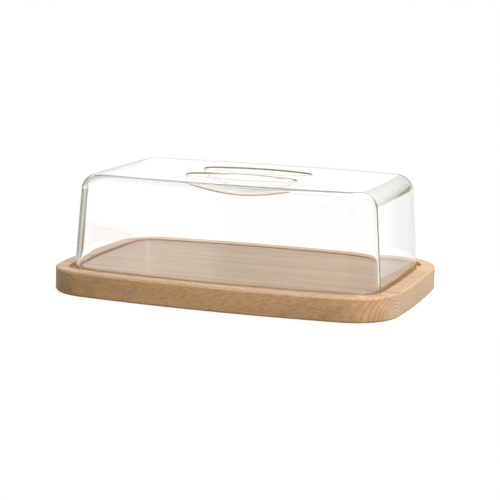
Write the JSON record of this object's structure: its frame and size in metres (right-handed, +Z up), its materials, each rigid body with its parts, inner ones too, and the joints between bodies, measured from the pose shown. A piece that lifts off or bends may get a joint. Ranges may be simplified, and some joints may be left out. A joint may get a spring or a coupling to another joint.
{
  "type": "cheese box",
  "caption": "Low rectangular cheese box: a clear moulded lid with two finger wells in its top stands in the groove of a beech serving board.",
  "frame": {"origin": "centre of the board's underside", "axes": "+X along the board's length, -Y towards the front, +Z up, the way the lid lifts off"},
  "size_m": [0.3, 0.205, 0.0974],
  "materials": {
    "beech_front": "oiled",
    "beech_front_middle": "oiled",
    "beech_middle": "oiled",
    "beech_rear_middle": "oiled",
    "beech_rear": "oiled",
    "clear_plastic": "clear polished"
  },
  "bodies": {
    "board": {"front_stave": "beech_front", "front_middle_stave": "beech_front_middle", "middle_stave": "beech_middle", "rear_middle_stave": "beech_rear_middle", "rear_stave": "beech_rear"},
    "lid": {"lid": "clear_plastic"}
  },
  "joints": [
    {"name": "lid_lift", "type": "slide", "parent": "board", "child": "lid", "axis": [0, 0, 1], "range_m": [0, 0.12]}
  ]
}
